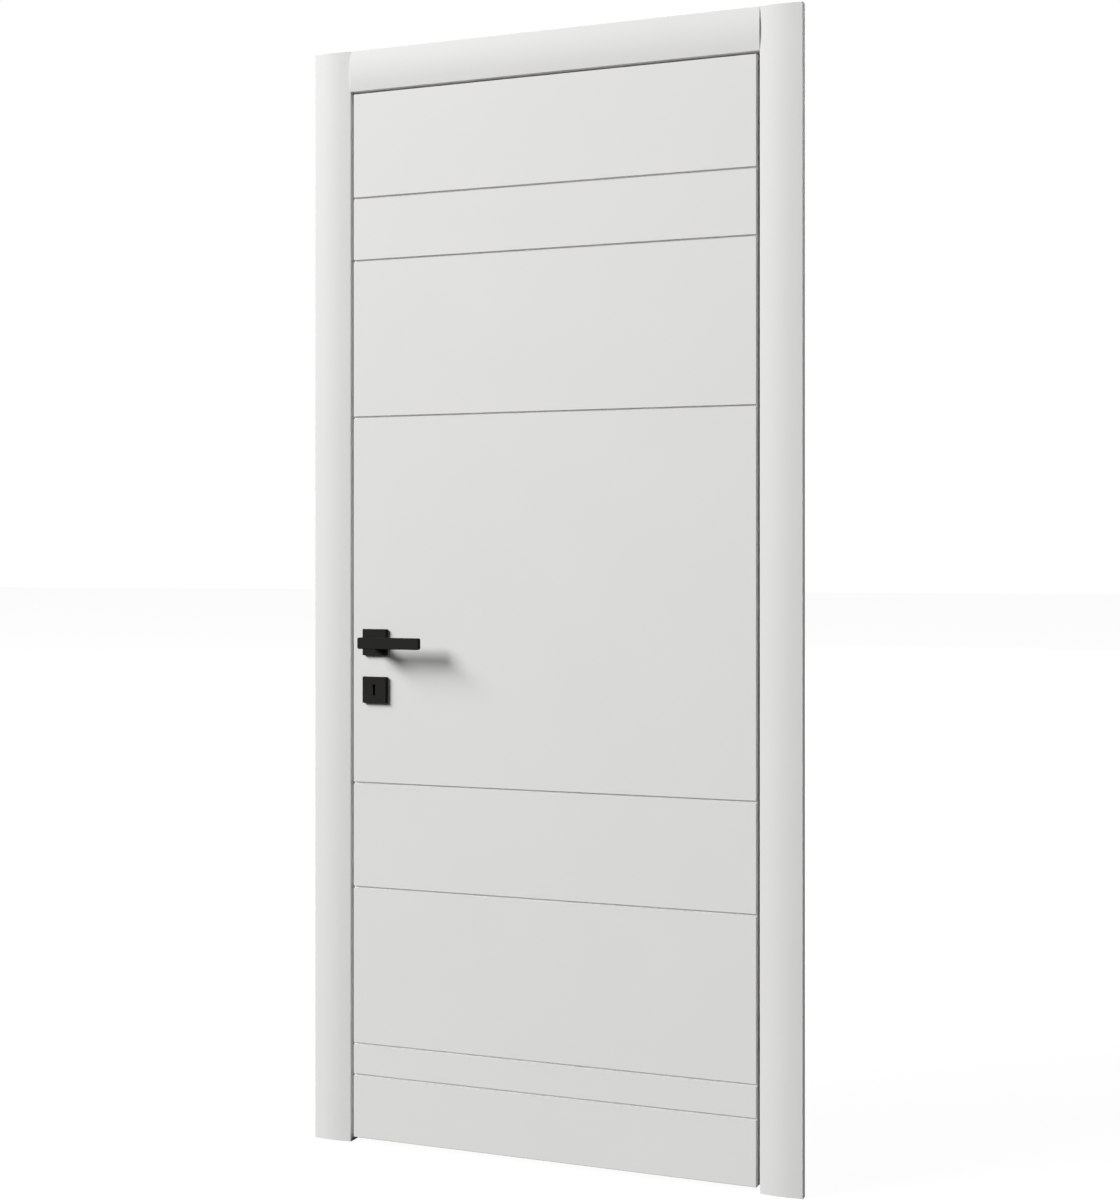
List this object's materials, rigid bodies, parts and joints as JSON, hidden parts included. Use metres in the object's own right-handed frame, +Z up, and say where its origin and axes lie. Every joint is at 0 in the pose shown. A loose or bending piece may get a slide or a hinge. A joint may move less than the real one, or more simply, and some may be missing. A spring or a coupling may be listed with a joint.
{
  "type": "interior door set",
  "caption": "White grooved hinged interior door leaf in a rebated frame with front casings, concealed hinges, and black square-rose lever handles.",
  "frame": {"origin": "outer face of the hinge-side jamb, at floor level, in the middle of the wall's thickness", "axes": "+Z up, +X from the lock side to the hinge side, +Y from the room that the leaf opens into through the wall"},
  "size_m": [0.968, 0.17, 2.093],
  "materials": {
    "frame_lacquer": "satin white lacquer on MDF",
    "leaf_lacquer": "satin white lacquer on MDF",
    "black_handle": "matt black powder coat on zinc",
    "lock_steel": "satin stainless steel",
    "inner_steel": "zinc-plated steel",
    "hinge_metal": "satin chrome-coloured zinc casting",
    "hinge_arm_metal": "plain steel link",
    "seal_rubber": "white soft seal"
  },
  "bodies": {
    "frame": {"jamb_lock_side": "frame_lacquer", "jamb_hinge_side": "frame_lacquer", "head_jamb": "frame_lacquer", "casing_left": "frame_lacquer", "casing_right": "frame_lacquer", "casing_head": "frame_lacquer", "seal_lock_side": "seal_rubber", "seal_hinge_side": "seal_rubber", "seal_head": "seal_rubber", "strike_plate": "lock_steel", "hinge_frame_body_lower": "hinge_metal", "hinge_frame_body_upper": "hinge_metal"},
    "leaf": {"leaf_front_skin": "leaf_lacquer", "leaf_back_skin": "leaf_lacquer", "leaf_lock_stile": "leaf_lacquer", "leaf_hinge_stile": "leaf_lacquer", "leaf_top_rail": "leaf_lacquer", "leaf_bottom_rail": "leaf_lacquer", "leaf_lock_block": "leaf_lacquer", "lock_case": "inner_steel", "lock_faceplate": "lock_steel", "latch_bolt": "lock_steel", "deadbolt": "lock_steel", "rose_outside": "black_handle", "rose_inside": "black_handle", "escutcheon_outside": "black_handle", "escutcheon_inside": "black_handle", "hinge_leaf_body_lower": "hinge_metal", "hinge_leaf_body_upper": "hinge_metal"},
    "handle": {"lever_outside": "black_handle", "lever_inside": "black_handle", "spindle": "inner_steel", "lock_follower": "inner_steel"},
    "frame_arms": {"hinge_frame_arm_lower": "hinge_arm_metal", "hinge_frame_arm_upper": "hinge_arm_metal"},
    "leaf_arms": {"hinge_leaf_arm_lower": "hinge_arm_metal", "hinge_leaf_arm_upper": "hinge_arm_metal"}
  },
  "joints": [
    {"name": "leaf_swing", "type": "hinge", "parent": "frame", "child": "leaf", "pos_m": [-0.043, -0.07, 1], "axis": [0, 0, 1], "range_deg": [0, 110]},
    {"name": "handle_turn", "type": "hinge", "parent": "leaf", "child": "handle", "pos_m": [-0.798, -0.042, 0.96], "axis": [0, 1, 0], "range_deg": [0, 45], "stiffness_Nm_per_rad": 1.2, "springref_deg": -20.05},
    {"name": "frame_arm_turn", "type": "hinge", "parent": "frame", "child": "frame_arms", "pos_m": [-0.035, -0.034, 1], "axis": [0, 0, 1], "range_deg": [0, 55]},
    {"name": "leaf_arm_turn", "type": "hinge", "parent": "leaf", "child": "leaf_arms", "pos_m": [-0.051, -0.034, 1], "axis": [0, 0, 1], "range_deg": [-55, 0]}
  ],
  "couplings": [
    {"joint": "frame_arm_turn", "follows": "leaf_swing", "ratio": 0.5},
    {"joint": "leaf_arm_turn", "follows": "leaf_swing", "ratio": -0.5}
  ]
}
